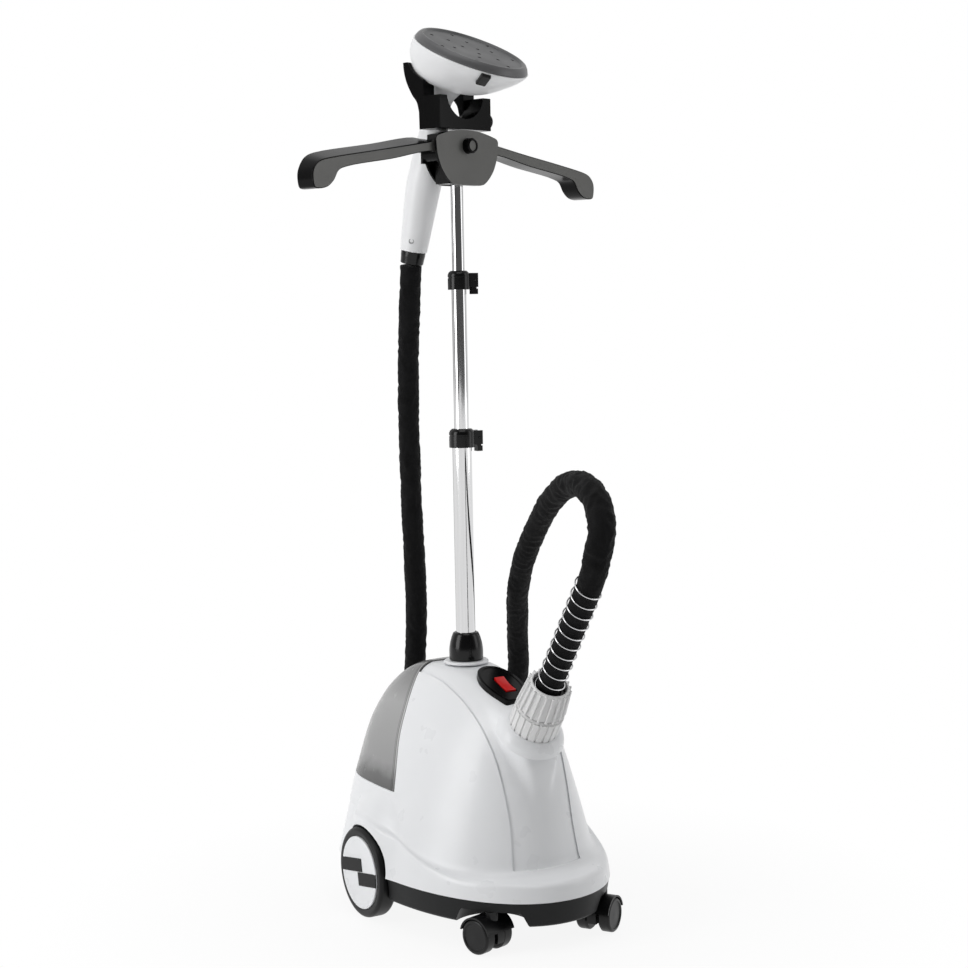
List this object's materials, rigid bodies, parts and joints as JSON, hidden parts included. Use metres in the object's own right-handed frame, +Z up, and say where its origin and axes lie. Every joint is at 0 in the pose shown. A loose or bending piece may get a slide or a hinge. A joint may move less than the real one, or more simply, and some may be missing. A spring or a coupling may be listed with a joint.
{
  "type": "garment steamer",
  "caption": "Upright garment steamer: wheeled base with water tank, telescopic pole, folding hanger, steam head in its cradle and a flexible hose.",
  "frame": {"origin": "middle of the footprint on the floor, under the object's own pieces without the hose", "axes": "+Z up along the pole, -Y to the front where the hose leaves the base, +X to the machine's left-hand wheel as seen from behind"},
  "size_m": [0.5054, 0.551, 1.1326],
  "materials": {
    "white_plastic": "smooth white moulding with a soft gloss",
    "dark_grey_plastic": "dark grey moulding, satin",
    "black_plastic": "glossy black moulding",
    "hub_plastic": "glossy charcoal moulding with dark edges",
    "chrome_tube": "polished chrome",
    "spring_wire": "bright spring wire",
    "smoked_tank": "smoked clear moulding",
    "red_plastic": "clear red moulding",
    "tyre_rubber": "black rubber",
    "caster_plastic": "black nylon",
    "aluminium": "cast aluminium",
    "steel": "turned steel",
    "hose_fabric": "black woven sleeve",
    "silicone_pipe": "grey silicone",
    "plate_grey": "dark grey moulding"
  },
  "bodies": {
    "base": {"housing_shell": "white_plastic", "front_cover": "white_plastic", "tank_valve_seat": "dark_grey_plastic", "base_tray": "dark_grey_plastic", "rear_axle": "steel", "switch_bezel": "black_plastic", "steam_outlet_socket": "white_plastic", "hose_spring": "spring_wire", "boiler": "aluminium", "boiler_lid": "aluminium", "thermostat": "black_plastic", "feed_pipe": "silicone_pipe", "steam_pipe": "silicone_pipe", "cord_gland": "black_plastic", "pole_socket": "white_plastic", "hose_arch": "hose_fabric", "hose_rise": "hose_fabric"},
    "tank": {"water_tank": "smoked_tank", "tank_valve_cap": "dark_grey_plastic"},
    "left_wheel": {"left_tyre": "tyre_rubber", "left_hubcap": "white_plastic"},
    "right_wheel": {"right_tyre": "tyre_rubber", "right_hubcap": "white_plastic"},
    "left_caster": {"left_caster_hood": "caster_plastic", "left_caster_axle": "steel"},
    "left_roller_a": {"left_caster_wheel_a": "caster_plastic"},
    "left_roller_b": {"left_caster_wheel_b": "caster_plastic"},
    "right_caster": {"right_caster_hood": "caster_plastic", "right_caster_axle": "steel"},
    "right_roller_a": {"right_caster_wheel_a": "caster_plastic"},
    "right_roller_b": {"right_caster_wheel_b": "caster_plastic"},
    "rocker": {"rocker_switch": "red_plastic"},
    "nut": {"hose_nut": "white_plastic"},
    "collar": {"pole_collar": "black_plastic"},
    "pole_lower": {"lower_tube": "chrome_tube", "lower_tube_bush": "black_plastic", "lower_lock_body": "black_plastic", "hose_low": "hose_fabric"},
    "lower_lever": {"lower_lock_lever": "black_plastic"},
    "pole_middle": {"middle_tube": "chrome_tube", "upper_lock_body": "black_plastic", "hose_mid": "hose_fabric"},
    "upper_lever": {"upper_lock_lever": "black_plastic"},
    "hub": {"upper_tube": "chrome_tube", "hub_core": "hub_plastic", "hub_front_cover": "hub_plastic", "hub_saddle": "hub_plastic", "left_cradle_prong": "hub_plastic", "right_cradle_prong": "hub_plastic", "cradle_bolt_cap": "black_plastic", "hose_top": "hose_fabric"},
    "knob": {"hub_knob": "black_plastic"},
    "left_arm": {"left_arm": "hub_plastic"},
    "right_arm": {"right_arm": "hub_plastic"},
    "head": {"steam_head_cup": "white_plastic", "steam_plate": "plate_grey", "handle": "white_plastic", "hose_cuff": "black_plastic", "accessory_catch": "black_plastic"}
  },
  "joints": [
    {"name": "pole_turn", "type": "hinge", "parent": "base", "child": "pole_lower", "pos_m": [0, 0.0689, 0.34], "axis": [0, 0, 1], "range_deg": [-25, 25], "deforming": ["hose_rise"]},
    {"name": "middle_slide", "type": "slide", "parent": "pole_lower", "child": "pole_middle", "axis": [0, 0, 1], "range_m": [-0.115, 0.2], "deforming": ["hose_low"]},
    {"name": "upper_slide", "type": "slide", "parent": "pole_middle", "child": "hub", "axis": [0, 0, 1], "range_m": [-0.1, 0.2], "deforming": ["hose_mid"]},
    {"name": "head_lift", "type": "slide", "parent": "hub", "child": "head", "axis": [0, 0, 1], "range_m": [0, 0.08], "deforming": ["hose_top"]},
    {"name": "collar_twist", "type": "hinge", "parent": "base", "child": "collar", "pos_m": [0, 0.0689, 0.34], "axis": [0, 0, 1], "range_deg": [0, 90]},
    {"name": "nut_turn", "type": "hinge", "parent": "base", "child": "nut", "pos_m": [0, -0.0911, 0.261], "axis": [0, -0.5592, 0.829], "range_deg": [0, 120]},
    {"name": "tank_lift", "type": "slide", "parent": "base", "child": "tank", "axis": [0, 0.36, 0.933], "range_m": [0, 0.04]},
    {"name": "rocker_press", "type": "hinge", "parent": "base", "child": "rocker", "pos_m": [0, -0.02499, 0.29898], "axis": [1, 0, 0], "range_deg": [-10, 0]},
    {"name": "left_wheel_spin", "type": "hinge", "parent": "base", "child": "left_wheel", "pos_m": [-0.1395, 0.0909, 0.058], "axis": [1, 0, 0], "continuous": true},
    {"name": "right_wheel_spin", "type": "hinge", "parent": "base", "child": "right_wheel", "pos_m": [0.1395, 0.0909, 0.058], "axis": [1, 0, 0], "continuous": true},
    {"name": "left_caster_swivel", "type": "hinge", "parent": "base", "child": "left_caster", "pos_m": [-0.08, -0.1181, 0.055], "axis": [0, 0, 1], "continuous": true},
    {"name": "left_roller_a_spin", "type": "hinge", "parent": "left_caster", "child": "left_roller_a", "pos_m": [-0.08221, -0.11041, 0.0215], "axis": [0.9613, 0.2756, 0], "continuous": true},
    {"name": "left_roller_b_spin", "type": "hinge", "parent": "left_caster", "child": "left_roller_b", "pos_m": [-0.08221, -0.11041, 0.0215], "axis": [0.9613, 0.2756, 0], "continuous": true},
    {"name": "right_caster_swivel", "type": "hinge", "parent": "base", "child": "right_caster", "pos_m": [0.08, -0.1181, 0.055], "axis": [0, 0, 1], "continuous": true},
    {"name": "right_roller_a_spin", "type": "hinge", "parent": "right_caster", "child": "right_roller_a", "pos_m": [0.07322, -0.12234, 0.0215], "axis": [-0.5299, 0.848, 0], "continuous": true},
    {"name": "right_roller_b_spin", "type": "hinge", "parent": "right_caster", "child": "right_roller_b", "pos_m": [0.07322, -0.12234, 0.0215], "axis": [-0.5299, 0.848, 0], "continuous": true},
    {"name": "lower_lever_flip", "type": "hinge", "parent": "pole_lower", "child": "lower_lever", "pos_m": [0.0218, 0.0689, 0.611], "axis": [0, -1, 0], "range_deg": [0, 95]},
    {"name": "upper_lever_flip", "type": "hinge", "parent": "pole_middle", "child": "upper_lever", "pos_m": [0.0194, 0.0689, 0.813], "axis": [0, -1, 0], "range_deg": [0, 95]},
    {"name": "left_arm_fold", "type": "hinge", "parent": "hub", "child": "left_arm", "pos_m": [-0.03825, 0.0572, 0.971], "axis": [0.2924, -0.9563, 0], "range_deg": [0, 75]},
    {"name": "right_arm_fold", "type": "hinge", "parent": "hub", "child": "right_arm", "pos_m": [0.03825, 0.08059, 0.971], "axis": [-0.2924, 0.9563, 0], "range_deg": [0, 75]},
    {"name": "knob_press", "type": "slide", "parent": "hub", "child": "knob", "axis": [-0.2924, 0.9563, 0], "range_m": [0, 0.003], "stiffness_N_per_m": 400, "springref_m": -0.002}
  ]
}
